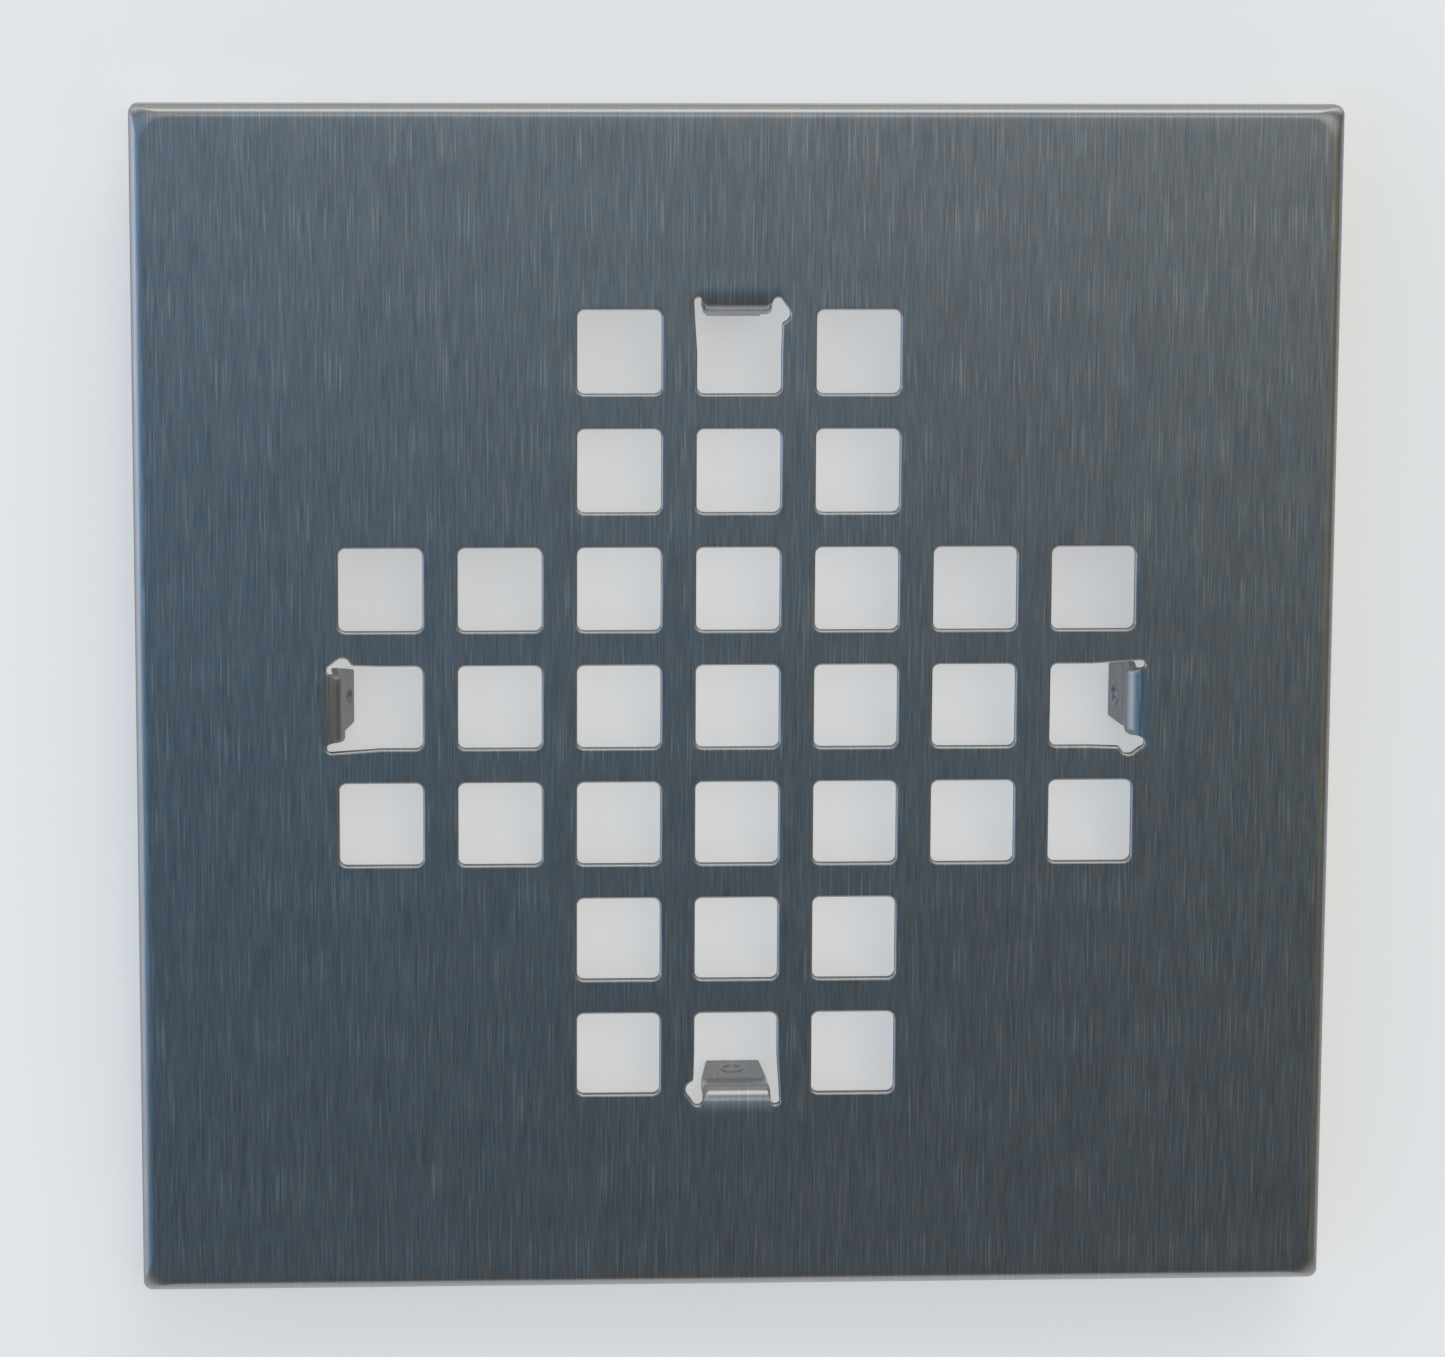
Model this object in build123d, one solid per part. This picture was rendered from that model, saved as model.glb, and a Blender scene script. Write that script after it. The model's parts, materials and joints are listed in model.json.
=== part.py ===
from build123d import *
import math
import os

os.makedirs("parts", exist_ok=True)

# Square snap-in drain grate, pressed from one stainless sheet. Millimetres.
# Z = 0 is the plane the rim seats on, the drain axis is Z, and the face looks along +Z.

# Pressed face
PLATE = 108.0            # side of the square
SHEET = 1.0              # sheet thickness
RIM_HEIGHT = 3.0         # face to the rim's lower edge
RIM_ROLL = 1.1           # outer radius of the rolled-down edge
RIM_CORNER = 0.8         # outer radius of the square's corners
RIM_INNER_CORNER = 0.5
FACE = RIM_HEIGHT        # height of the face above the seat
UNDERSIDE = FACE - SHEET

# Square drain holes, a cross on a seven by seven grid
PITCH = 10.69
HOLE = 7.5
HOLE_CORNER = 0.65
GRID_REACH = 3           # steps from the middle hole to the end of an arm
ARM_REACH = 1            # steps from an arm's middle line to its side
DIE_ROLL = 0.25          # rounding that the punch leaves around the top of a hole

# Snap-in legs, each bent down from the outer side of an arm's last hole
LEG_WIDTH = 6.2
LEG_SHIFT = 0.15         # leg's centre line off the arm's, toward its narrow slot
BEND_START = 36.6        # drain axis to where the leg leaves the flat sheet
BEND_RADIUS = 1.45       # on the face side
SHANK_LEAN = 5.0         # degrees outward from vertical
SHANK = 3.1
TOE_LEAN = 20.6          # degrees inward from vertical
TOE = 3.0
KNEE_RADIUS = 0.8        # on the face side
TOE_TIP_WIDTH = 4.9
DIMPLE_RADIUS = 1.9      # sphere that the dimple is part of
DIMPLE_DEPTH = 0.3
DIMPLE_ALONG = 1.7       # knee to the dimple's middle, down the toe

# Slots that free the sides of each leg, and the round relief that runs into the end of the wide one
SLOT_END = 36.9          # drain axis to a slot's rounded end
WIDE_SLOT = 0.95
NARROW_SLOT = 0.8
RELIEF = 0.75            # radius
RELIEF_REACH = 35.5      # drain axis to the relief's middle
RELIEF_OFFSET = 3.78     # arm's centre line to the relief's middle

LEG_TURNS = {"leg_right": 0, "leg_back": 90, "leg_left": 180, "leg_front": 270}


def rounded_block(side, top, roll, corner):
    """Square block standing on the seat, with its upright corners and its top edges rounded."""
    block = extrude(RectangleRounded(side, side, corner), top)
    return fillet(block.edges().group_by(Axis.Z)[-1], roll)


def hole_centres():
    steps = range(-GRID_REACH, GRID_REACH + 1)
    return [(i * PITCH, j * PITCH) for i in steps for j in steps if min(abs(i), abs(j)) <= ARM_REACH]


def slot_ends():
    """(x, y, radius) of the rounded ends of the right-hand leg's wide and narrow slots."""
    wide, narrow = WIDE_SLOT / 2, NARROW_SLOT / 2
    return ((SLOT_END - wide, LEG_SHIFT - LEG_WIDTH / 2 - wide, wide),
            (SLOT_END - narrow, LEG_SHIFT + LEG_WIDTH / 2 + narrow, narrow))


def leg_window():
    """What the right-hand leg leaves open in the sheet, beyond its square hole."""
    inner, half = GRID_REACH * PITCH, HOLE / 2
    (wide_x, wide_y, wide), (narrow_x, narrow_y, narrow) = slot_ends()
    root_low = wide_y + math.sqrt(wide ** 2 - (BEND_START - wide_x) ** 2)
    root_high = narrow_y - math.sqrt(narrow ** 2 - (BEND_START - narrow_x) ** 2)
    outline = Polyline((inner, -half), (wide_x, wide_y - wide), (wide_x, wide_y), (BEND_START, root_low),
                       (BEND_START, root_high), (narrow_x, narrow_y), (narrow_x, narrow_y + narrow),
                       (inner, half), close=True)
    relief = Pos(RELIEF_REACH, -RELIEF_OFFSET) * Circle(RELIEF)
    wide_end = make_hull((relief + Pos(wide_x, wide_y) * Circle(wide)).edges())
    return make_face(outline) + wide_end + Pos(narrow_x, narrow_y) * Circle(narrow)


def at_leg_root(edge):
    """True for the straight edges where a leg leaves the sheet."""
    middle = edge @ 0.5
    return edge.geom_type == GeomType.LINE and max(abs(middle.X), abs(middle.Y)) > BEND_START - SHEET / 2


def punched_edges(plate):
    """Top edges of every opening, apart from the legs' roots."""
    face = plate.faces().sort_by(Axis.Z)[-1]
    edges = [edge for wire in face.inner_wires() for edge in wire.edges()]
    return [edge for edge in edges if not at_leg_root(edge)]


def face_plate():
    plate = rounded_block(PLATE, FACE, RIM_ROLL, RIM_CORNER)
    plate -= rounded_block(PLATE - 2 * SHEET, UNDERSIDE, RIM_ROLL - SHEET, RIM_INNER_CORNER)
    openings = Sketch() + [Pos(x, y) * RectangleRounded(HOLE, HOLE, HOLE_CORNER) for x, y in hole_centres()]
    openings += [Rot(0, 0, turn) * leg_window() for turn in LEG_TURNS.values()]
    plate -= extrude(Pos(0, 0, UNDERSIDE) * openings, SHEET)
    return fillet(punched_edges(plate), DIE_ROLL)


def leg_outline():
    """Side view of the right-hand leg, with the points where its toe starts and ends."""
    with BuildLine(Plane.XZ) as path:
        bend = JernArc((BEND_START, FACE), (-1, 0), BEND_RADIUS, 90 + SHANK_LEAN)
        shank = PolarLine(bend @ 1, SHANK, SHANK_LEAN - 90)
        toe = PolarLine(shank @ 1, TOE, -90 - TOE_LEAN)
        knee, tip = toe @ 0, toe @ 1
        fillet(path.vertices().sort_by_distance(knee)[0], KNEE_RADIUS)
        offset(amount=SHEET, side=Side.RIGHT)
    return make_face(path.edges()), knee, tip


def leg():
    """The right-hand leg: bend, shank, knee and tapered toe with its dimple."""
    outline, knee, tip = leg_outline()
    strip = extrude(outline, LEG_WIDTH / 2, both=True)

    # The toe narrows from the knee to its tip
    low = strip.bounding_box().min.Z
    sides = Polyline((-LEG_WIDTH / 2, FACE), (-LEG_WIDTH / 2, knee.Z), (-TOE_TIP_WIDTH / 2, low),
                     (TOE_TIP_WIDTH / 2, low), (LEG_WIDTH / 2, knee.Z), (LEG_WIDTH / 2, FACE), close=True)
    strip &= extrude(Plane.YZ * make_face(sides), BEND_START)

    # Dimple, pushed through from the drain side so that it stands out of the back
    down = (tip - knee).normalized()
    toe = Plane(knee + down * DIMPLE_ALONG, x_dir=(0, 1, 0), z_dir=Vector(0, 1, 0).cross(down))
    ball = Sphere(DIMPLE_RADIUS)
    rise = DIMPLE_RADIUS - DIMPLE_DEPTH
    back = Pos(0, 0, rise - SHEET) * ball & Pos(0, 0, -SHEET) * Box(TOE, TOE, SHEET)
    strip += toe * back
    strip -= toe * Pos(0, 0, rise) * ball
    return Pos(0, LEG_SHIFT, 0) * strip


export_step(face_plate(), "parts/face_plate.step")
right_leg = leg()
for name, turn in LEG_TURNS.items():
    export_step(Rot(0, 0, turn) * right_leg, f"parts/{name}.step")
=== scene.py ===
import json
import math

import bpy
import numpy as np
from mathutils import Matrix, Vector
from mathutils.geometry import delaunay_2d_cdt


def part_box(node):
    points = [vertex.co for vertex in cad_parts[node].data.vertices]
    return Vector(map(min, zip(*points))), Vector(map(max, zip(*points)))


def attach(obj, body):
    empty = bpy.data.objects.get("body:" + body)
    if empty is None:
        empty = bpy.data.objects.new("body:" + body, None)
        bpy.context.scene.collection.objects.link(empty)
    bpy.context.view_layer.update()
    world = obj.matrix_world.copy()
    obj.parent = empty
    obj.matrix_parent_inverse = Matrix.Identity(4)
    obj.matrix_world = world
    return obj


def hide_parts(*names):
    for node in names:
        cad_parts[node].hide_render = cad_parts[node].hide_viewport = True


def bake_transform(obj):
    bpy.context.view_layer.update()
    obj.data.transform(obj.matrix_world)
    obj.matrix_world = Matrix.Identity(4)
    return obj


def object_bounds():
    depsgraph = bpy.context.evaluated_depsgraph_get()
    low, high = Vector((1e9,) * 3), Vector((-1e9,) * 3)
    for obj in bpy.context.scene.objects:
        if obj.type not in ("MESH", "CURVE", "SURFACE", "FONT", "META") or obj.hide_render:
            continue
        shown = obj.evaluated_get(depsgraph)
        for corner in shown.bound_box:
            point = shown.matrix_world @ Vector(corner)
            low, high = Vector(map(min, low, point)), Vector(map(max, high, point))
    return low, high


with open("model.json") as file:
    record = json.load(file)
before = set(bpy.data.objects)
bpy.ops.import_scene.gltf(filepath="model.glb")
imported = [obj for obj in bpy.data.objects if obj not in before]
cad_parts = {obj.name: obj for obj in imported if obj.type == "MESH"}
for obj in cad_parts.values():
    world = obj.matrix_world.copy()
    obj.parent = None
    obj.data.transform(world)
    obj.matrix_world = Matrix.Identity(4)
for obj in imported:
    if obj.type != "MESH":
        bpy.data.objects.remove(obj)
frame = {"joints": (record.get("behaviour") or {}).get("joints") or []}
cad_low, cad_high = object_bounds()

# The meshes are worked out in millimetres and written in metres
MM = 0.001

# What the CAD model settles: the plate's side and heights, and where the legs leave the sheet
plate_low, plate_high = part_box("face_plate")
HALF = plate_high.x / MM
FACE = plate_high.z / MM
SEAT = plate_low.z / MM
LEGS = {joint["child"]: Vector(joint["pos_m"]) for joint in frame["joints"]}
ROOT = max(place.xy.length for place in LEGS.values()) / MM
SHEET = 1.0
UNDERSIDE = FACE - SHEET

# Rim: the face dips a little, then rolls over into the skirt
DIP = 0.6                # degrees of slope where the dip ends and the roll starts
DIP_LENGTH = 1.5
ROLL = 1.1               # radius
LIP = 0.15               # rounding of the skirt's lower edge
LIP_STEPS = 3
RIM_CORNER = 0.8         # radius of the skirt's corners in plan
CORNER_GROWTH = 1.6      # how fast that radius grows inward
INNER_CORNER = 0.45
DIP_STEPS = 5
ROLL_STEPS = 16
CORNER_STEPS = 12
SIDE_STEPS = 12

# Square holes, a cross on a seven by seven grid
PITCH = 10.69
HOLE = 7.5
HOLE_CORNER = 0.65
GRID_REACH = 3
ARM_REACH = 1
DIE_ROLL = 0.25          # rounding round the top of each hole
BURNISH = 0.35           # smooth upper part of the cut wall
BREAK = 0.05             # how far the torn lower part opens out
BREAK_EDGE = 0.06
HOLE_ROLL_STEPS = 6
HOLE_CORNER_STEPS = 8
HOLE_SIDE_STEPS = 4

# Slots beside each leg and the round relief that runs into the wide one, in the right-hand leg's own place
SLOT_END = 36.9
WIDE_SLOT = 0.95
NARROW_SLOT = 0.8
RELIEF = 0.75
RELIEF_REACH = 35.5
RELIEF_OFFSET = 3.78
RELIEF_BLEND = 0.4
RELIEF_STEPS = 14

# Bending each leg pulls the sheet beside its root down a little
PULL_SLOPE = 6.0         # degrees, at the root
PULL_LENGTH = 1.3        # how far out from the root
PULL_DEPTH = PULL_LENGTH * math.tan(math.radians(PULL_SLOPE)) / 2
PULL_HALF_WIDTH = 3.2    # full depth up to here, to the sides of the arm's centre line
PULL_FADE = 4.2          # nothing from here
PULL_GRID = 0.2          # spacing of the mesh there
PULL_GAP = 0.14          # no such mesh point lies closer than this to an opening
ROOT_SLACK = 0.001       # points this close inside the root still count as on it

# Snap-in leg
LEG_WIDTH = 6.2
LEG_SHIFT = 0.15         # its centre line, off the arm's toward the narrow slot
BEND_RADIUS = 1.45
SHANK_LEAN = 5.0
SHANK = 3.1
TOE_LEAN = 20.6
TOE = 3.0
KNEE_RADIUS = 0.8
KNEE_HALF_WIDTH = 3.03
TIP_HALF_WIDTH = 2.45
WIDE_EDGE = 0.5          # rounding of the leg's face edge beside the wide slot
NARROW_EDGE = 0.35
TOE_EDGE = 0.15          # what is left of those roundings on the toe
TIP_EDGE = 0.1           # rounding of the toe's tip
BACK_EDGE = 0.06
SEAM_EDGE = 0.02         # what is left of any rounding where leg and plate meet
SEAM_FADE = 0.5          # length over which the roundings grow to their full size
DIMPLE_DOWN = 1.7        # knee to the dimple's middle
DIMPLE_LENGTH = 1.2      # half lengths, across and down the toe
DIMPLE_HEIGHT = 0.8
DIMPLE_DEPTH = 0.42

# Points across and down a leg
ACROSS = 60
EDGE_STEPS = 5
BEND_STEPS = 28
SHANK_STEPS = 12
KNEE_STEPS = 8
TOE_STEPS = 36
TIP_STEPS = 4
WALL_POINTS = 2          # points down each of a leg's side walls, below the face edge's rounding

# Finishes, in the order of each piece's material slots
BRUSHED, SHEARED, MILL = 0, 1, 2

# Working values of the meshing
TINY = 1e-6
KEY_DIGITS = 5           # points that agree to this many decimals are one point
SLOPE_STEP = 1e-4        # distance over which the pulled sheet's slope is measured


def smooth(value, low, high):
    """0 below low, 1 above high, and smooth between."""
    share = min(max((value - low) / (high - low), 0.0), 1.0)
    return share * share * (3 - 2 * share)


def arc(centre, radius, start, end, steps):
    """Points along an arc, with its angles in degrees."""
    turns = [math.radians(start + (end - start) * i / steps) for i in range(steps + 1)]
    return [(centre[0] + radius * math.cos(t), centre[1] + radius * math.sin(t)) for t in turns]


def line(start, end, steps):
    """Points along a line, without its ends."""
    shares = [i / steps for i in range(1, steps)]
    return [tuple(a + (b - a) * share for a, b in zip(start, end)) for share in shares]


def brush_place(x, y):
    """Place on the flat sheet, as shares of the plate's side."""
    return x / (2 * HALF) + 0.5, y / (2 * HALF) + 0.5


def pulled(out, across):
    """Height change of the sheet beside a leg: out past the root, and across from the arm's centre line."""
    if not -ROOT_SLACK <= out < PULL_LENGTH or abs(across) >= PULL_FADE:
        return 0.0
    fade = 1 - smooth(abs(across), PULL_HALF_WIDTH, PULL_FADE)
    return -PULL_DEPTH * (1 - out / PULL_LENGTH) ** 2 * fade


def sheet_height(x, y):
    """Height change of the sheet at any place."""
    out, across = (abs(x), y) if abs(x) > abs(y) else (abs(y), x)
    return pulled(out - ROOT, across)


class Skin:
    """The faces of one piece, with the true normal and brush coordinates of each corner."""

    def __init__(self):
        self.points = {}
        self.faces = []
        self.normals = []
        self.brush = []
        self.finishes = []

    def face(self, corners, finish):
        """Adds a face, turned toward its normals. A corner is a point, its normal and its brush place."""
        keys = [tuple(round(value, KEY_DIGITS) for value in point) for point, _, _ in corners]
        kept = [i for i, key in enumerate(keys) if key != keys[i - 1]]
        if len(kept) < 3:
            return
        across = Vector(keys[kept[2]]) - Vector(keys[kept[0]])
        along = Vector(keys[kept[-1]]) - Vector(keys[kept[1]])
        if across.cross(along).dot(sum((Vector(corners[i][1]) for i in kept), Vector())) < 0:
            kept.reverse()
        self.faces.append([self.points.setdefault(keys[i], len(self.points)) for i in kept])
        self.normals += [corners[i][1] for i in kept]
        self.brush += [corners[i][2] for i in kept]
        self.finishes.append(finish)

    def grid(self, rows, normals, brush, finishes, closed=True):
        """Adds the quads between rows of points. There is one finish for each gap between rows."""
        for i, finish in enumerate(finishes):
            count = len(rows[i])
            for j in range(count if closed else count - 1):
                k = (j + 1) % count
                places = ((i, j), (i, k), (i + 1, k), (i + 1, j))
                self.face([(rows[a][b], normals[a][b], brush[a][b]) for a, b in places], finish)

    def pull_down(self):
        """Lowers the sheet where it is pulled down, and turns its section and its normals to match."""
        tips, moved = [], {}
        for (x, y, z), index in self.points.items():
            step_x, step_y = math.copysign(SLOPE_STEP, x), math.copysign(SLOPE_STEP, y)
            height = sheet_height(x, y)
            slope_x = (sheet_height(x + step_x, y) - height) / step_x
            slope_y = (sheet_height(x, y + step_y) - height) / step_y
            tip = unit(np.array((-slope_x, -slope_y, 1.0)))
            point = np.array((x, y, FACE + height)) - tip * (FACE - z)
            tips.append(tip)
            moved[tuple(point.tolist())] = index
        corners = [index for face in self.faces for index in face]
        self.normals = [(x + z * tips[index][0], y + z * tips[index][1], z)
                        for (x, y, z), index in zip(self.normals, corners)]
        self.points = moved

    def build(self, name, materials):
        """The finished mesh object, which also stores how far each corner leans from the level."""
        mesh = bpy.data.meshes.new(name)
        mesh.from_pydata([Vector(point) * MM for point in self.points], [], self.faces)
        mesh.polygons.foreach_set("material_index", self.finishes)
        mesh.shade_smooth()
        layer = mesh.uv_layers.new(name="Brush")
        layer.data.foreach_set("uv", np.array(self.brush, float).ravel())
        bent = mesh.attributes.new("bent", "FLOAT", "CORNER")
        bent.data.foreach_set("value", [1 - abs(Vector(normal).normalized().z) for normal in self.normals])
        for material in materials:
            mesh.materials.append(material)
        mesh.normals_split_custom_set([Vector(normal).normalized() for normal in self.normals])
        piece = bpy.data.objects.new(name, mesh)
        bpy.context.scene.collection.objects.link(piece)
        return piece


def unit(vectors):
    return vectors / np.linalg.norm(vectors, axis=-1, keepdims=True)


def grid_normals(rows, flip=1):
    """Normals of a closed grid of points, from the differences between its neighbours."""
    rows = np.array(rows, float)
    along = np.gradient(rows, axis=0)
    around = np.roll(rows, -1, axis=1) - np.roll(rows, 1, axis=1)
    return unit(np.cross(around, along) * flip)


# ---------------------------------------------------------------- plate

def rounded_square(half, radius, corner_steps, side_steps):
    """Points round a square with rounded corners, counterclockwise."""
    middle = half - radius
    points = []
    for turn in range(4):
        a = math.radians(90 * turn)
        corner = arc((middle, middle), radius, 0, 90, corner_steps)
        side = line(corner[-1], (-middle, half), side_steps)
        cos, sin = round(math.cos(a)), round(math.sin(a))
        points += [(x * cos - y * sin, x * sin + y * cos) for x, y in corner + side]
    return points


def rim_profile():
    """(inset from the skirt, height, slope in radians) from the flat face's edge to the skirt."""
    dip = [math.radians(DIP * i / DIP_STEPS) for i in range(DIP_STEPS + 1)]
    roll = [math.radians(DIP + (90 - DIP) * i / ROLL_STEPS) for i in range(1, ROLL_STEPS + 1)]
    x, z, slope = 0.0, FACE, 0.0
    levels = [(x, z, slope)]
    dip_radius = DIP_LENGTH / math.radians(DIP)
    for angle in dip[1:] + roll:
        radius = dip_radius if angle <= math.radians(DIP) + TINY else ROLL
        x += radius * (math.sin(angle) - math.sin(slope))
        z -= radius * (math.cos(slope) - math.cos(angle))
        slope = angle
        levels.append((x, z, slope))
    return [(x - run, height, angle) for run, height, angle in levels]


def rim_corner(inset):
    return RIM_CORNER + CORNER_GROWTH * inset


def rim_loop(inset, height, corner):
    ring = rounded_square(HALF - inset, corner, CORNER_STEPS, SIDE_STEPS)
    return [(x, y, height) for x, y in ring]


def level_brush(loops):
    """Brush coordinates of rim loops: each point's place, moved outward by what unrolling the rim adds."""
    loops = np.array(loops, float)
    outward = np.roll(loops, -1, axis=1) - np.roll(loops, 1, axis=1)
    outward = unit(np.stack([outward[..., 1], -outward[..., 0]], axis=2))
    side = loops[:, CORNER_STEPS + SIDE_STEPS // 2]
    run = np.append(0, np.cumsum(np.linalg.norm(np.diff(side, axis=0), axis=1)))
    added = run - (side[:, 1] - side[0, 1])
    return (loops[..., :2] + outward * added[:, None, None]) / (2 * HALF) + 0.5


def add_rim(skin):
    """The outside from the flat face to the lip, and the inside back up to the underside."""
    profile = rim_profile()
    outer = [rim_loop(inset, height, rim_corner(inset)) for inset, height, _ in profile]
    outer.append(rim_loop(0, SEAT + LIP, RIM_CORNER))
    normals = grid_normals(outer, -1)
    normals[0] = (0, 0, 1)
    normals[-2:, :, 2] = 0
    normals = unit(normals)
    skin.grid(outer, normals, level_brush(outer), [BRUSHED] * (len(outer) - 1))

    outer_lip = [rim_loop(LIP - dx, SEAT + LIP - dz, RIM_CORNER)
                 for dx, dz in arc((0, 0), LIP, 0, 90, LIP_STEPS)]
    inner_lip = [rim_loop(SHEET - LIP + dx, SEAT + LIP - dz, INNER_CORNER)
                 for dx, dz in arc((0, 0), LIP, 90, 0, LIP_STEPS)]
    lip = outer_lip + inner_lip
    lip_normals = grid_normals(lip, -1)
    lip_normals[0] = normals[-1]
    lip_normals[LIP_STEPS:LIP_STEPS + 2] = (0, 0, -1)
    lip_normals[-1, :, 2] = 0
    lip_normals = unit(lip_normals)
    skin.grid(lip, lip_normals, level_brush(lip), [SHEARED] * (len(lip) - 1))

    inner = [inner_lip[-1]]
    for inset, height, slope in reversed(profile):
        shift = SHEET * math.sin(slope)
        corner = max(rim_corner(inset) - shift, INNER_CORNER)
        inner.append(rim_loop(inset + shift, height - SHEET * math.cos(slope), corner))
    inner_normals = grid_normals(inner, -1)
    inner_normals[0] = lip_normals[-1]
    inner_normals[-1] = (0, 0, -1)
    skin.grid(inner, unit(inner_normals), level_brush(inner), [MILL] * (len(inner) - 1))
    return [point[:2] for point in outer[0]], [point[:2] for point in inner[-1]]


def plain_hole(x, y):
    """Outline of a square hole, clockwise, with the share of its die roll that each point takes."""
    ring = rounded_square(HOLE / 2, HOLE_CORNER, HOLE_CORNER_STEPS, HOLE_SIDE_STEPS)
    return [(x + px, y + py, 1.0) for px, py in reversed(ring)]


def circle_arc(centre, radius, start, end):
    """Clockwise arc from one direction to another, both in degrees."""
    return arc(centre, radius, start, end - 360 if end > start else end, RELIEF_STEPS)


def direction(start, end):
    """Direction from one point to another in degrees."""
    return math.degrees(math.atan2(end[1] - start[1], end[0] - start[0]))


def leg_window():
    """Outline of the right-hand leg's hole with its slots, clockwise from the root beside the wide slot."""
    x, half = GRID_REACH * PITCH, HOLE / 2
    wide, narrow = WIDE_SLOT / 2, NARROW_SLOT / 2
    wide_end = (SLOT_END - wide, LEG_SHIFT - LEG_WIDTH / 2 - wide)
    narrow_end = (SLOT_END - narrow, LEG_SHIFT + LEG_WIDTH / 2 + narrow)
    relief = (RELIEF_REACH, -RELIEF_OFFSET)

    # One straight line touches the wide slot's end and the relief
    slope = direction(wide_end, relief)
    touch = slope + math.degrees(math.acos((wide - RELIEF) / math.dist(wide_end, relief)))
    root = math.degrees(math.acos((ROOT - wide_end[0]) / wide))
    slot_arc = circle_arc(wide_end, wide, root, touch)

    # The hole's side runs from its middle toward the slot's outer side. A small curve leads to the relief.
    start = Vector((x, -half))
    side = (start - Vector((wide_end[0], wide_end[1] - wide))).normalized()
    metal = Vector((-side.y, side.x))
    nearest = start + side * (Vector(relief) - start).dot(side)
    rise = (nearest - Vector(relief)).dot(metal)
    side_touch = nearest + side * math.sqrt((RELIEF + RELIEF_BLEND) ** 2 - (rise + RELIEF_BLEND) ** 2)
    blend = side_touch + metal * RELIEF_BLEND
    relief_touch = Vector(relief).lerp(blend, RELIEF / (RELIEF + RELIEF_BLEND))
    relief_arc = circle_arc(relief, RELIEF, touch, direction(relief, relief_touch))
    blend_start, blend_end = direction(blend, relief_touch), direction(blend, side_touch)
    blend_arc = arc(blend, RELIEF_BLEND, blend_start, blend_end, RELIEF_STEPS)

    root = -math.degrees(math.acos((ROOT - narrow_end[0]) / narrow))
    narrow_arc = circle_arc(narrow_end, narrow, 90, root)
    middle = half - HOLE_CORNER
    lower = arc((x - middle, -middle), HOLE_CORNER, 270, 180, HOLE_CORNER_STEPS)
    upper = arc((x - middle, middle), HOLE_CORNER, 180, 90, HOLE_CORNER_STEPS)
    outline = (slot_arc + line(slot_arc[-1], relief_arc[0], HOLE_SIDE_STEPS)
               + relief_arc + blend_arc[1:] + line(blend_arc[-1], (x, -half), HOLE_SIDE_STEPS) + [(x, -half)]
               + lower + line(lower[-1], upper[0], HOLE_SIDE_STEPS) + upper
               + [(x, half)] + line((x, half), narrow_arc[0], HOLE_SIDE_STEPS) + narrow_arc)
    from_seam = np.cumsum([0] + [math.dist(a, b) for a, b in zip(outline, outline[1:])])
    to_seam = from_seam[-1] - from_seam
    return [(px, py, smooth(min(a, b), 0, SEAM_FADE)) for (px, py), a, b in zip(outline, from_seam, to_seam)]


def root_half_widths():
    """How far the leg's root reaches from the arm's centre line, on its wide and its narrow slot's side."""
    window = leg_window()
    return abs(window[0][1]), abs(window[-1][1])


def turned(points, turn):
    """Points turned about the drain axis by whole quarter turns."""
    cos, sin = round(math.cos(math.radians(turn))), round(math.sin(math.radians(turn)))
    return [(p[0] * cos - p[1] * sin, p[0] * sin + p[1] * cos, *p[2:]) for p in points]


def outward_steps(outline, seam):
    """For each point of a clockwise outline, the step that moves it into the metal by one millimetre."""
    ring = np.array([point[:2] for point in outline])
    edges = np.roll(ring, -1, axis=0) - ring
    sides = unit(np.stack([-edges[:, 1], edges[:, 0]], axis=1))
    before = np.roll(sides, 1, axis=0)
    miter = (before + sides) / (1 + np.sum(before * sides, axis=1, keepdims=True))
    if seam is not None:
        across = np.array([-seam[1], seam[0]])
        miter[0] = -across
        miter[-1] = across
    return miter


def wall_levels(share):
    """(offset into the metal, height) down one line of a hole's wall."""
    roll = SEAM_EDGE + (DIE_ROLL - SEAM_EDGE) * share
    top = [(roll * (1 - math.sin(a)), FACE - roll * (1 - math.cos(a)))
           for a in (math.radians(90 * i / HOLE_ROLL_STEPS) for i in range(HOLE_ROLL_STEPS + 1))]
    return top + [(0, FACE - DIE_ROLL - BURNISH),
                  (BREAK * share, UNDERSIDE + BREAK_EDGE),
                  ((BREAK + BREAK_EDGE) * share, UNDERSIDE)]


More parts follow.
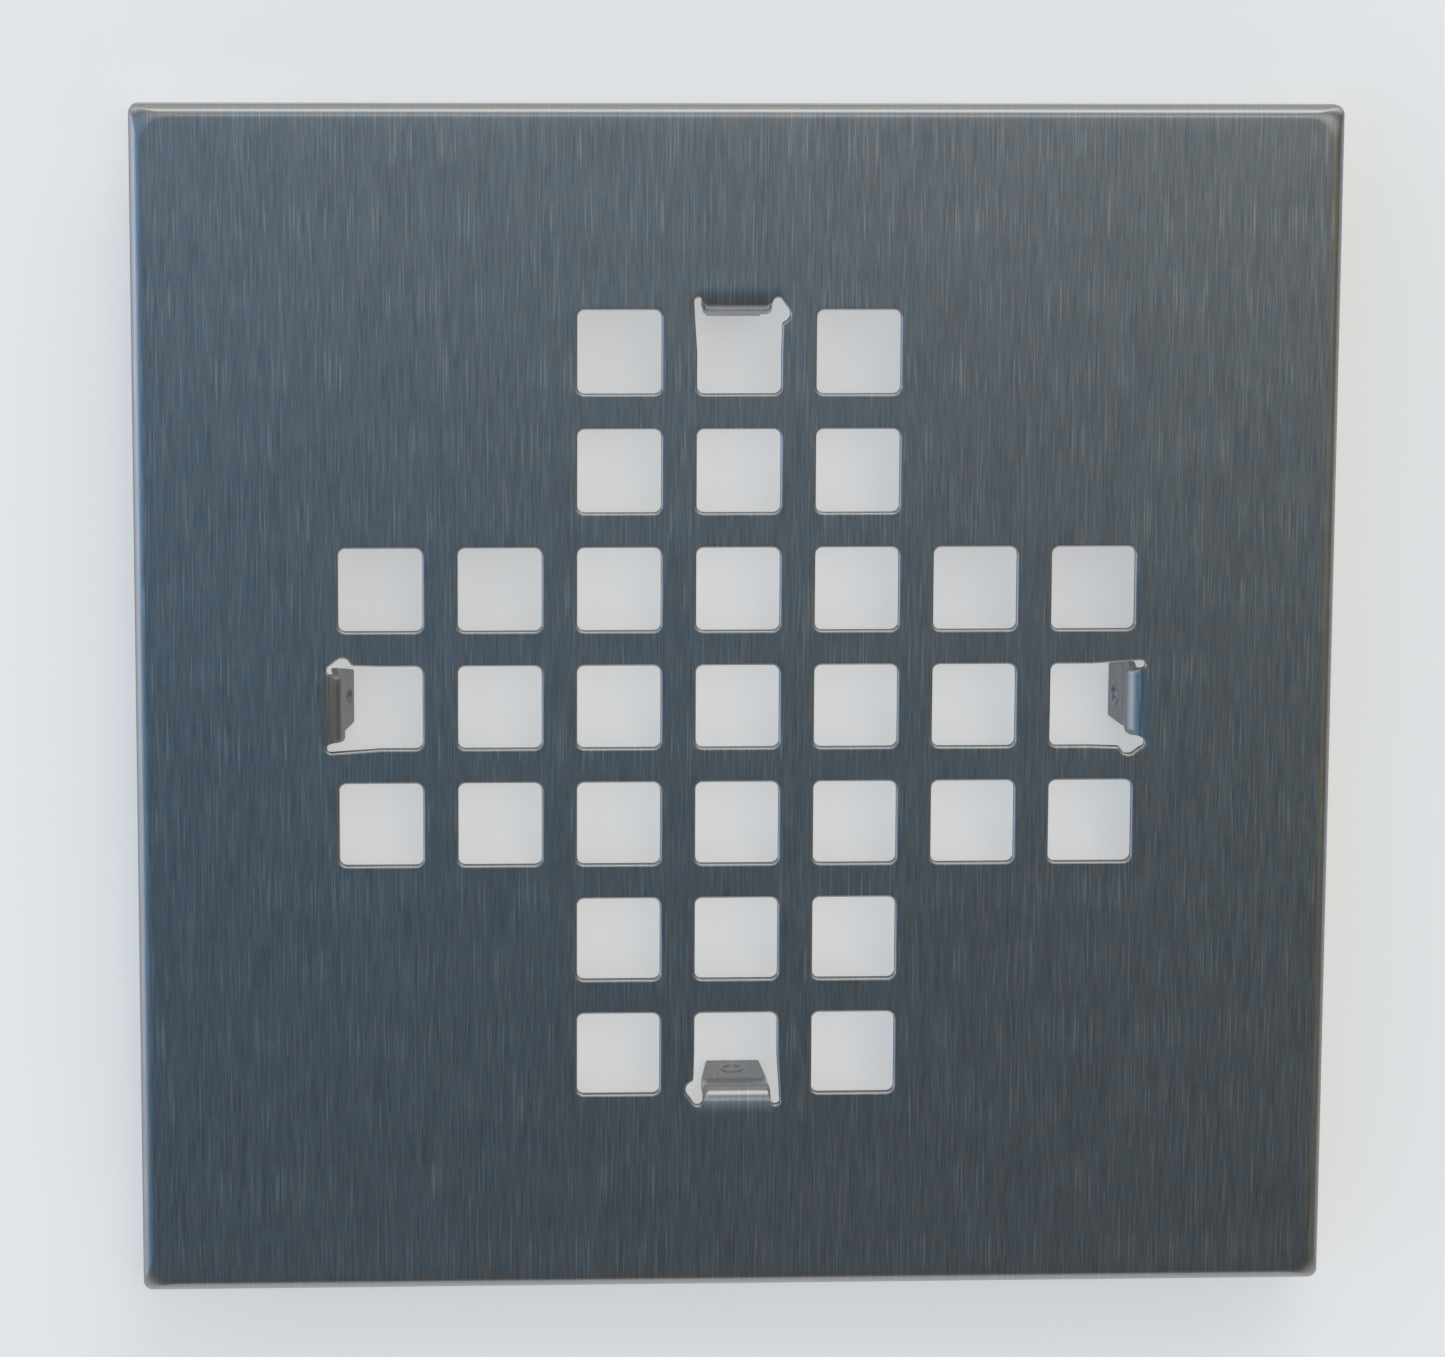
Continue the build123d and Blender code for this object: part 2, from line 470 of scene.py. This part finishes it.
def add_opening(skin, outline, seam=None):
    """The rolled edge and cut wall of one opening. Gives back its outlines on the face and underneath."""
    steps = outward_steps(outline, seam)
    columns = [wall_levels(point[2]) for point in outline]
    rows = [[(point[0] + step[0] * offset, point[1] + step[1] * offset, height)
             for point, step, (offset, height) in zip(outline, steps, level)]
            for level in zip(*columns)]
    normals = grid_normals(rows, -1)
    inward = np.array([(-step[0], -step[1], 0) for step in steps])
    normals[0] = (0, 0, 1)
    normals[HOLE_ROLL_STEPS] = inward
    normals[HOLE_ROLL_STEPS + 1] = inward
    normals = unit(normals)
    lengths = np.cumsum([0] + [math.dist(a[:2], b[:2]) for a, b in zip(outline, outline[1:])])
    flat_brush = [[brush_place(*point[:2]) for point in row] for row in rows]
    wall_brush = [[brush_place(run, point[2]) for run, point in zip(lengths, row)] for row in rows]
    closed = seam is None
    split = HOLE_ROLL_STEPS
    skin.grid(rows[:split + 1], normals[:split + 1], flat_brush[:split + 1], [BRUSHED] * split, closed)
    walls = [SHEARED] * (len(rows) - split - 1)
    skin.grid(rows[split:], normals[split:], wall_brush[split:], walls, closed)
    if seam is not None:
        normal = (-seam[0], -seam[1], 0)
        for upper, lower in zip(rows, rows[1:]):
            corners = [upper[-1], upper[0], lower[0], lower[-1]]
            skin.face([(corner, normal, brush_place(0, corner[2])) for corner in corners], SHEARED)
    return [point[:2] for point in rows[0]], [point[:2] for point in rows[-1]]


def inside(points, polygon):
    """Which of the points lie inside a polygon."""
    points, polygon = np.array(points), np.array(polygon)
    found = np.zeros(len(points), bool)
    for (ax, ay), (bx, by) in zip(polygon, np.roll(polygon, -1, axis=0)):
        spans = (ay > points[:, 1]) != (by > points[:, 1])
        if ay != by:
            found ^= spans & (points[:, 0] < (bx - ax) * (points[:, 1] - ay) / (by - ay) + ax)
    return found


def pull_points(openings):
    """Points of the sheet beside every leg's root, clear of the openings."""
    outs = np.arange(PULL_GRID, PULL_LENGTH + PULL_GRID, PULL_GRID)
    acrosses = np.arange(-PULL_FADE, PULL_FADE + PULL_GRID / 2, PULL_GRID)
    points = [(ROOT + out, across) for out in outs for across in acrosses]
    points = [point for turn in (0, 90, 180, 270) for point in turned(points, turn)]
    for opening in openings:
        ring = np.array(opening)
        clear = [np.min(np.hypot(*(ring - point).T)) >= PULL_GAP for point in points]
        within = inside(points, opening)
        points = [point for point, far, hole in zip(points, clear, within) if far and not hole]
    return points


def add_flat(skin, rim, openings, height, normal, finish):
    """The flat sheet between the rim and the openings, at one height."""
    points, edges = [], []
    for loop in [rim, *openings]:
        start = len(points)
        points += loop
        edges += [(start + i, start + (i + 1) % len(loop)) for i in range(len(loop))]
    points += pull_points(openings)
    plan = [Vector(point) for point in points]
    _, _, triangles, sources, _, _ = delaunay_2d_cdt(plan, edges, [], 0, TINY)
    triangles = [[points[sources[i][0]] for i in triangle] for triangle in triangles]
    middles = np.mean(triangles, axis=1)
    kept = inside(middles, rim)
    for opening in openings:
        kept &= ~inside(middles, opening)
    for triangle, keep in zip(triangles, kept):
        if keep:
            skin.face([((x, y, height), normal, brush_place(x, y)) for x, y in triangle], finish)


def make_plate(materials):
    skin = Skin()
    top_rim, under_rim = add_rim(skin)
    steps = range(-GRID_REACH, GRID_REACH + 1)
    holes = [(i, j) for i in steps for j in steps if min(abs(i), abs(j)) <= ARM_REACH]
    tops, unders = [], []
    for i, j in holes:
        if (abs(i), abs(j)) in ((GRID_REACH, 0), (0, GRID_REACH)):
            continue
        top, under = add_opening(skin, plain_hole(i * PITCH, j * PITCH))
        tops.append(top)
        unders.append(under)
    for place in LEGS.values():
        out = place.xy.normalized()
        turn = math.degrees(math.atan2(out.y, out.x))
        top, under = add_opening(skin, turned(leg_window(), turn), seam=(round(out.x), round(out.y)))
        tops.append(top)
        unders.append(under)
    add_flat(skin, top_rim, tops, FACE, (0, 0, 1), BRUSHED)
    add_flat(skin, under_rim, unders, UNDERSIDE, (0, 0, -1), MILL)
    skin.pull_down()
    plate = skin.build("plate_steel_face", materials)
    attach(plate, "grate")
    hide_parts("face_plate")
    return plate


# ---------------------------------------------------------------- legs

def leg_path():
    """(length so far, x, z, direction in radians) down the face side of the right-hand leg."""
    bend = math.radians(90 + SHANK_LEAN - PULL_SLOPE)
    knee = math.radians(SHANK_LEAN + TOE_LEAN)
    trim = KNEE_RADIUS * math.tan(knee / 2)
    pieces = [(BEND_RADIUS * bend, bend, BEND_STEPS), (SHANK - PULL_DEPTH - trim, 0.0, SHANK_STEPS),
              (KNEE_RADIUS * knee, -knee, KNEE_STEPS), (TOE - trim, 0.0, TOE_STEPS)]
    run, x, z, heading = 0.0, ROOT, FACE - PULL_DEPTH, math.pi + math.radians(PULL_SLOPE)
    path = [(run, x, z, heading)]
    for length, turn, steps in pieces:
        for _ in range(steps):
            middle = heading + turn / steps / 2
            chord = length / steps if not turn else 2 * abs(length / turn) * math.sin(abs(turn) / steps / 2)
            x += chord * math.cos(middle)
            z += chord * math.sin(middle)
            heading += turn / steps
            run += length / steps
            path.append((run, x, z, heading))
    return path


def knee_run():
    """Length down the face to the middle of the knee."""
    trim = KNEE_RADIUS * math.tan(math.radians(SHANK_LEAN + TOE_LEAN) / 2)
    half_knee = KNEE_RADIUS * math.radians(SHANK_LEAN + TOE_LEAN) / 2
    return BEND_RADIUS * math.radians(90 + SHANK_LEAN - PULL_SLOPE) + SHANK - PULL_DEPTH - trim + half_knee


def half_widths(run, end):
    """How far the leg reaches toward its wide slot and toward its narrow slot, at a length down it."""
    if run == 0:
        return root_half_widths()
    knee = knee_run()
    if run < knee:
        plain = LEG_WIDTH / 2 + (KNEE_HALF_WIDTH - LEG_WIDTH / 2) * smooth(run, 0, knee)
    else:
        plain = KNEE_HALF_WIDTH + (TIP_HALF_WIDTH - KNEE_HALF_WIDTH) * (run - knee) / (end - knee)
    return plain - LEG_SHIFT, plain + LEG_SHIFT


def leg_section(wide_side, narrow_side, edges, back_edge, sunk):
    """Outline of the leg's section as (across, depth below the face): over the face, then back under."""
    wide, narrow = edges
    turns = [math.radians(90 * i / EDGE_STEPS) for i in range(EDGE_STEPS + 1)]
    face = [(-wide_side + wide * (1 - math.cos(a)), sunk + wide * (1 - math.sin(a))) for a in turns[:-1]]
    span = wide_side + narrow_side - wide - narrow
    face += [(-wide_side + wide + span * i / (ACROSS - 1), sunk) for i in range(ACROSS)]
    face += [(narrow_side - narrow * (1 - math.sin(a)), sunk + narrow * (1 - math.cos(a)))
             for a in turns[1:]]
    wall = SHEET - back_edge
    count = len(face) - 2 * WALL_POINTS
    span = wide_side + narrow_side - 2 * back_edge
    back = [(-wide_side, (sunk + wide + wall) / 2), (-wide_side, wall)]
    back += [(-wide_side + back_edge + span * i / (count - 1), SHEET) for i in range(count)]
    back += [(narrow_side, wall), (narrow_side, (sunk + narrow + wall) / 2)]
    return face + list(reversed(back))


def dimple(across, down):
    """Depth of the punched dimple at a place on the toe."""
    reach = (across / DIMPLE_LENGTH) ** 2 + ((down - DIMPLE_DOWN) / DIMPLE_HEIGHT) ** 2
    return DIMPLE_DEPTH * (1 - smooth(reach, 0.0, 1.0))


def leg_edges(run):
    """Roundings of the leg's face edges and of its back edges, which all fade out at the seam."""
    grown = smooth(run, 0, SEAM_FADE)
    toe = smooth(run, knee_run() - KNEE_RADIUS, knee_run() + KNEE_RADIUS)
    full = [edge + (TOE_EDGE - edge) * toe for edge in (WIDE_EDGE, NARROW_EDGE)]
    edges = [SEAM_EDGE + (edge - SEAM_EDGE) * grown for edge in full]
    return edges, SEAM_EDGE + (BACK_EDGE - SEAM_EDGE) * grown


def leg_rows():
    """Sections down the right-hand leg as rows of points, with their places on the flat sheet."""
    path = leg_path()
    end = path[-1][0]
    knee = knee_run()
    stations = [(run, x, z, heading, 0.0) for run, x, z, heading in path if run < end - TIP_EDGE]
    _, x, z, heading = path[-1]
    for i in range(TIP_STEPS + 1):
        a = math.radians(90 * i / TIP_STEPS)
        short = TIP_EDGE * (1 - math.sin(a))
        stations.append((end - short, x - short * math.cos(heading), z - short * math.sin(heading),
                         heading, TIP_EDGE * (1 - math.cos(a))))
    rows, places = [], []
    for run, x, z, heading, sunk in stations:
        wide, narrow = half_widths(run, end)
        edges, back_edge = leg_edges(run)
        normal = (math.sin(heading), -math.cos(heading))
        row, place = [], []
        for across, depth in leg_section(wide - sunk, narrow - sunk, edges, back_edge, sunk):
            if abs(depth - sunk) < TINY or abs(depth - SHEET) < TINY:
                depth += dimple(across, run - knee)
            row.append((x - normal[0] * depth, across, z - normal[1] * depth))
            place.append((ROOT - run, across))
        rows.append(row)
        places.append(place)
    return rows, places


def leg_normals(rows):
    """Normals of the leg's sections. The first row's are those of the sheet that it grows out of."""
    normals = grid_normals(rows)
    first = np.array(rows[0], float)
    around = np.roll(first, -1, axis=0) - np.roll(first, 1, axis=0)
    slope = math.radians(PULL_SLOPE)
    normals[0] = np.cross(around, (-math.cos(slope), 0, -math.sin(slope)))
    return unit(normals)


def make_leg(name, place, materials):
    """A leg's mesh, made in the right-hand leg's place and then turned to its own."""
    rows, places = leg_rows()
    normals = leg_normals(rows)
    count = len(rows[0])
    face_count = ACROSS + 2 * EDGE_STEPS
    out = place.xy.normalized()
    turn = math.degrees(math.atan2(out.y, out.x))
    rows = [turned(row, turn) for row in rows]
    normals = [turned(row, turn) for row in normals]
    brush = [[brush_place(*spot) for spot in turned(row, turn)] for row in places]
    skin = Skin()
    for i in range(len(rows) - 1):
        for j in range(count):
            k = (j + 1) % count
            on_face = j < face_count - 1
            on_back = face_count + WALL_POINTS <= j < count - WALL_POINTS - 1
            finish = BRUSHED if on_face else MILL if on_back else SHEARED
            spots = ((i, j), (i, k), (i + 1, k), (i + 1, j))
            skin.face([(rows[a][b], normals[a][b], brush[a][b]) for a, b in spots], finish)
    tip = leg_path()[-1][3]
    tip_normal = turned([(math.cos(tip), 0, math.sin(tip))], turn)[0]
    for row, normal in ((0, (out.x, out.y, 0)), (-1, tip_normal)):
        for j in range(face_count - 1):
            k = count - 1 - j
            corners = [(rows[row][spot], normal, brush[row][spot]) for spot in (j, j + 1, k - 1, k)]
            skin.face(corners, SHEARED)
    leg = skin.build(name + "_steel", materials)
    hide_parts(name)
    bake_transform(leg)
    return leg


# ---------------------------------------------------------------- materials

# Brush lines: how many grains fit across and along the plate's side, and their share of the height
BRUSH_LINES = (
    (1500, 46, 0.45),    # hairlines
    (620, 20, 0.40),     # broader lines
    (110, 8, 0.15),      # slow bands
)
SCRATCH_GRAINS = (800, 16)
SCRATCH_LEVELS = (0.68, 0.86)
SCRATCH_GAIN = 0.32      # how far a full scratch lifts the tone of the lines
WANDER = 0.002           # how far the brush lines wander, as a share of the plate's side
WANDER_SCALE = 4.0
CALM = 0.35              # what is left of the lines where the sheet is bent
CALM_BEND = (0.002, 0.08)
PAINTED_STEEP_SHADE = 0.62              # painted shade: what is left of the colour where the sheet stands up
PAINTED_STEEP_SHADE_BEND = (0.45, 0.75)
ANISOTROPY = 0.8

# Colours from the darker grains to the brighter ones
BRUSHED_SHADES = [(0.28, 0.295, 0.31), (0.425, 0.435, 0.44), (0.62, 0.62, 0.61)]
BRUSHED_TINTS = [(0.96, 1.0, 1.04), (1.05, 0.99, 0.97)]
# The cut walls' darkness is partly the rough shear and partly painted shade for the unlit holes and slots
CUT_COLOURS_WITH_PAINTED_SHADE = [(0.10, 0.09, 0.085), (0.22, 0.205, 0.195)]
MILL_SHADES = [(0.40, 0.41, 0.42), (0.54, 0.54, 0.54)]


def add(tree, kind, inputs=None, **settings):
    """A shader node with its settings, and its inputs as values or as other nodes' outputs."""
    made = tree.nodes.new("ShaderNode" + kind)
    for name, value in settings.items():
        setattr(made, name, value)
    for name, value in (inputs or {}).items():
        if isinstance(value, bpy.types.NodeSocket):
            tree.links.new(value, made.inputs[name])
        else:
            made.inputs[name].default_value = value
    return made


def maths(tree, operation, a, b):
    return add(tree, "Math", {0: a, 1: b}, operation=operation).outputs[0]


def vector_maths(tree, operation, a, b):
    return add(tree, "VectorMath", {0: a, 1: b}, operation=operation).outputs[0]


def scaled(tree, vector, factor):
    return add(tree, "VectorMath", {0: vector, "Scale": factor}, operation="SCALE").outputs[0]


def noise(tree, place, scale, detail):
    return add(tree, "TexNoise", {"Vector": place, "Scale": scale, "Detail": detail}, noise_dimensions="2D")


def streaks(tree, brush, across, along, detail=2.0):
    """Noise drawn out along the brush lines: how many grains fit across and along the plate's side."""
    stretched = add(tree, "Mapping", {"Vector": brush, "Scale": (across, along, 1)}).outputs[0]
    grain = noise(tree, stretched, 1.0, detail)
    grain.inputs["Roughness"].default_value = 0.6
    return grain.outputs["Fac"]


def ramp(tree, value, low, high, colours):
    """Colours spread evenly between a low and a high value."""
    made = add(tree, "ValToRGB", {"Fac": value})
    stops = made.color_ramp.elements
    while len(stops) < len(colours):
        stops.new(0.5)
    for i, (stop, colour) in enumerate(zip(stops, colours)):
        stop.position = low + (high - low) * i / (len(colours) - 1)
        stop.color = (*colour, 1)
    return made.outputs[0]


def spread(tree, value, low, high, to_low, to_high):
    """A value taken from one range to another, and kept within it."""
    return add(tree, "MapRange", {"Value": value, "From Min": low, "From Max": high,
                                  "To Min": to_low, "To Max": to_high}).outputs[0]


def steel_material(name):
    """A metal material, with its node tree, its shader and its brush coordinates."""
    material = bpy.data.materials.new(name)
    material.use_nodes = True
    tree = material.node_tree
    tree.nodes.clear()
    shader = add(tree, "BsdfPrincipled", {"Metallic": 1.0})
    output = add(tree, "OutputMaterial")
    tree.links.new(shader.outputs[0], output.inputs["Surface"])
    brush = add(tree, "UVMap", uv_map="Brush").outputs[0]
    return material, tree, shader, brush


def finish_shader(tree, shader, colour, roughness, height, strength, distance):
    """Joins a colour, a roughness and a bump to the shader."""
    bump = add(tree, "Bump", {"Height": height, "Strength": strength, "Distance": distance})
    tree.links.new(colour, shader.inputs["Base Color"])
    tree.links.new(roughness, shader.inputs["Roughness"])
    tree.links.new(bump.outputs[0], shader.inputs["Normal"])


def wavering(tree, brush):
    """Brush coordinates with the slight wander of the brushing."""
    wander = noise(tree, brush, WANDER_SCALE, 1.0)
    return vector_maths(tree, "ADD", brush, scaled(tree, wander.outputs["Color"], WANDER))


def brush_lines(tree, place):
    """Height of the brush lines, between 0 and 1."""
    total = 0.0
    for across, along, share in BRUSH_LINES:
        part = maths(tree, "MULTIPLY", streaks(tree, place, across, along), share)
        total = maths(tree, "ADD", total, part)
    return total


def scratches(tree, place):
    """Scattered bright scratches along the brush lines."""
    return spread(tree, streaks(tree, place, *SCRATCH_GRAINS, 0.0), *SCRATCH_LEVELS, 0, SCRATCH_GAIN)


def brushed_steel():
    """The face: brushed and scratched, calmer where it is bent, and darkened with painted shade where it
    stands up.
    """
    material, tree, shader, brush = steel_material("brushed_steel")
    wavy = wavering(tree, brush)
    bent = add(tree, "Attribute", attribute_name="bent").outputs["Fac"]
    calm = spread(tree, bent, *CALM_BEND, 1.0, CALM)
    lines = maths(tree, "MULTIPLY", maths(tree, "SUBTRACT", brush_lines(tree, wavy), 0.5), calm)
    lines = maths(tree, "ADD", lines, 0.5)
    tone = maths(tree, "ADD", lines, maths(tree, "MULTIPLY", scratches(tree, wavy), calm))
    shades = ramp(tree, tone, 0.3, 0.8, BRUSHED_SHADES)
    tints = ramp(tree, noise(tree, brush, 60.0, 3.0).outputs["Fac"], 0.35, 0.65, BRUSHED_TINTS)
    colour = vector_maths(tree, "MULTIPLY", shades, tints)
    # Painted shade: the colour is darkened where the sheet stands up, on the legs and the skirt
    colour = scaled(tree, colour, spread(tree, bent, *PAINTED_STEEP_SHADE_BEND, 1.0, PAINTED_STEEP_SHADE))
    roughness = spread(tree, lines, 0.3, 0.7, 0.33, 0.38)
    finish_shader(tree, shader, colour, roughness, lines, strength=0.12, distance=0.00001)
    shader.inputs["Anisotropic"].default_value = ANISOTROPY
    tangent = add(tree, "Tangent", direction_type="UV_MAP", uv_map="Brush")
    tree.links.new(tangent.outputs[0], shader.inputs["Tangent"])
    return material


def sheared_steel_painted_shade():
    """Cut walls and edges: coarser, and darker partly from the rough shear and partly from painted shade."""
    material, tree, shader, brush = steel_material("sheared_steel_painted_shade")
    grain = streaks(tree, brush, 900, 90)
    colour = ramp(tree, grain, 0.3, 0.7, CUT_COLOURS_WITH_PAINTED_SHADE)
    roughness = spread(tree, grain, 0.3, 0.7, 0.45, 0.62)
    finish_shader(tree, shader, colour, roughness, grain, strength=0.4, distance=0.00002)
    return material


def mill_steel():
    """The underside: fine grain with broad, faint clouds."""
    material, tree, shader, brush = steel_material("mill_steel")
    grain = noise(tree, brush, 300.0, 4.0).outputs["Fac"]
    cloud = noise(tree, brush, 6.0, 3.0).outputs["Fac"]
    both = maths(tree, "ADD", maths(tree, "MULTIPLY", grain, 0.5), maths(tree, "MULTIPLY", cloud, 0.5))
    colour = ramp(tree, both, 0.35, 0.65, MILL_SHADES)
    roughness = spread(tree, both, 0.35, 0.65, 0.34, 0.46)
    finish_shader(tree, shader, colour, roughness, grain, strength=0.2, distance=0.00001)
    return material


# ---------------------------------------------------------------- studio

CAMERA_PLACE = (-29.1, 85.06, 481.02)
CAMERA_TURN = (-9.79, -3.27, 0.29)     # degrees about X, Y and Z: almost straight down
LENS = 134.5
SENSOR = 36

FLOOR_REACH = 3.0        # metres from the middle
FLOOR_COLOUR = (0.85, 0.85, 0.85, 1)
FLOOR_ROUGHNESS = 0.9
FLOOR_GLOW = 0.35

# Studio lights: bearing and angle from overhead, half angles where the light is full and where it is gone,
# all in degrees, then the colour
LIGHTS = (
    (45, 17, 5, 20, (1.42, 1.36, 1.28)),     # main lamp, high at the back right
    (180, 30, 10, 26, (0.10, 0.42, 0.76)),   # cool lamp over the left
    (0, 40, 8, 24, (0.49, 0.44, 0.28)),      # warm lamp over the right
    (270, 28, 6, 18, (0.15, 0.13, 0.11)),    # faint lamp over the front
    (90, 42, 14, 32, (0.55, 0.60, 0.66)),    # broad box over the back
    (180, 78, 6, 24, (1.90, 2.10, 2.50)),    # cool box, low on the left
    (80, 68, 6, 26, (2.10, 2.03, 1.80)),     # warm box, low at the back
    (270, 84, 14, 40, (0.67, 0.68, 0.71)),   # grey box, low at the front
    (225, 70, 12, 30, (0.60, 0.64, 0.70)),   # four low corner boxes
    (315, 70, 12, 30, (0.60, 0.60, 0.56)),
    (135, 72, 8, 26, (1.20, 1.25, 1.30)),
    (45, 72, 8, 26, (1.00, 1.00, 0.90)),
)
ROOM = (0.004, 0.004, 0.004)


def make_camera():
    data = bpy.data.cameras.new("camera")
    data.lens = LENS
    data.sensor_width = SENSOR
    camera = bpy.data.objects.new("camera", data)
    bpy.context.scene.collection.objects.link(camera)
    camera.location = Vector(CAMERA_PLACE) * MM
    camera.rotation_euler = [math.radians(angle) for angle in CAMERA_TURN]
    bpy.context.scene.camera = camera


def floor_material():
    material = bpy.data.materials.new("floor")
    material.use_nodes = True
    shader = material.node_tree.nodes["Principled BSDF"]
    shader.inputs["Base Color"].default_value = FLOOR_COLOUR
    shader.inputs["Roughness"].default_value = FLOOR_ROUGHNESS
    shader.inputs["Emission Color"].default_value = (1, 1, 1, 1)
    shader.inputs["Emission Strength"].default_value = FLOOR_GLOW
    return material


def make_floor():
    """A pale floor at the legs' lowest point."""
    corners = ((-1, -1), (1, -1), (1, 1), (-1, 1))
    mesh = bpy.data.meshes.new("floor")
    mesh.from_pydata([(x * FLOOR_REACH, y * FLOOR_REACH, cad_low.z) for x, y in corners], [], [(0, 1, 2, 3)])
    mesh.materials.append(floor_material())
    floor = bpy.data.objects.new("floor", mesh)
    bpy.context.scene.collection.objects.link(floor)


def light_glow(tree, place, bearing, tilt, full, gone):
    """How much of one light shows in each direction, from 0 to 1."""
    lean = math.radians(tilt)
    toward = Matrix.Rotation(math.radians(bearing), 3, "Z") @ Vector((math.sin(lean), 0, math.cos(lean)))
    facing = add(tree, "VectorMath", {0: place, 1: toward}, operation="DOT_PRODUCT").outputs["Value"]
    dark, bright = math.cos(math.radians(gone)), math.cos(math.radians(full))
    limits = {"Value": facing, "From Min": dark, "From Max": bright}
    return add(tree, "MapRange", limits, interpolation_type="SMOOTHSTEP").outputs[0]


def make_world():
    world = bpy.data.worlds.new("studio")
    bpy.context.scene.world = world
    world.use_nodes = True
    tree = world.node_tree
    tree.nodes.clear()
    place = add(tree, "TexCoord").outputs["Generated"]
    total = ROOM
    for *shape, colour in LIGHTS:
        light = scaled(tree, colour, light_glow(tree, place, *shape))
        total = vector_maths(tree, "ADD", total, light)
    background = add(tree, "Background", {"Color": total, "Strength": 1.0})
    output = add(tree, "OutputWorld")
    tree.links.new(background.outputs[0], output.inputs["Surface"])


steel = [brushed_steel(), sheared_steel_painted_shade(), mill_steel()]
make_plate(steel)
for leg_name, leg_place in LEGS.items():
    make_leg(leg_name, leg_place, steel)
make_floor()
make_world()
make_camera()
bpy.context.scene.view_settings.view_transform = "Standard"
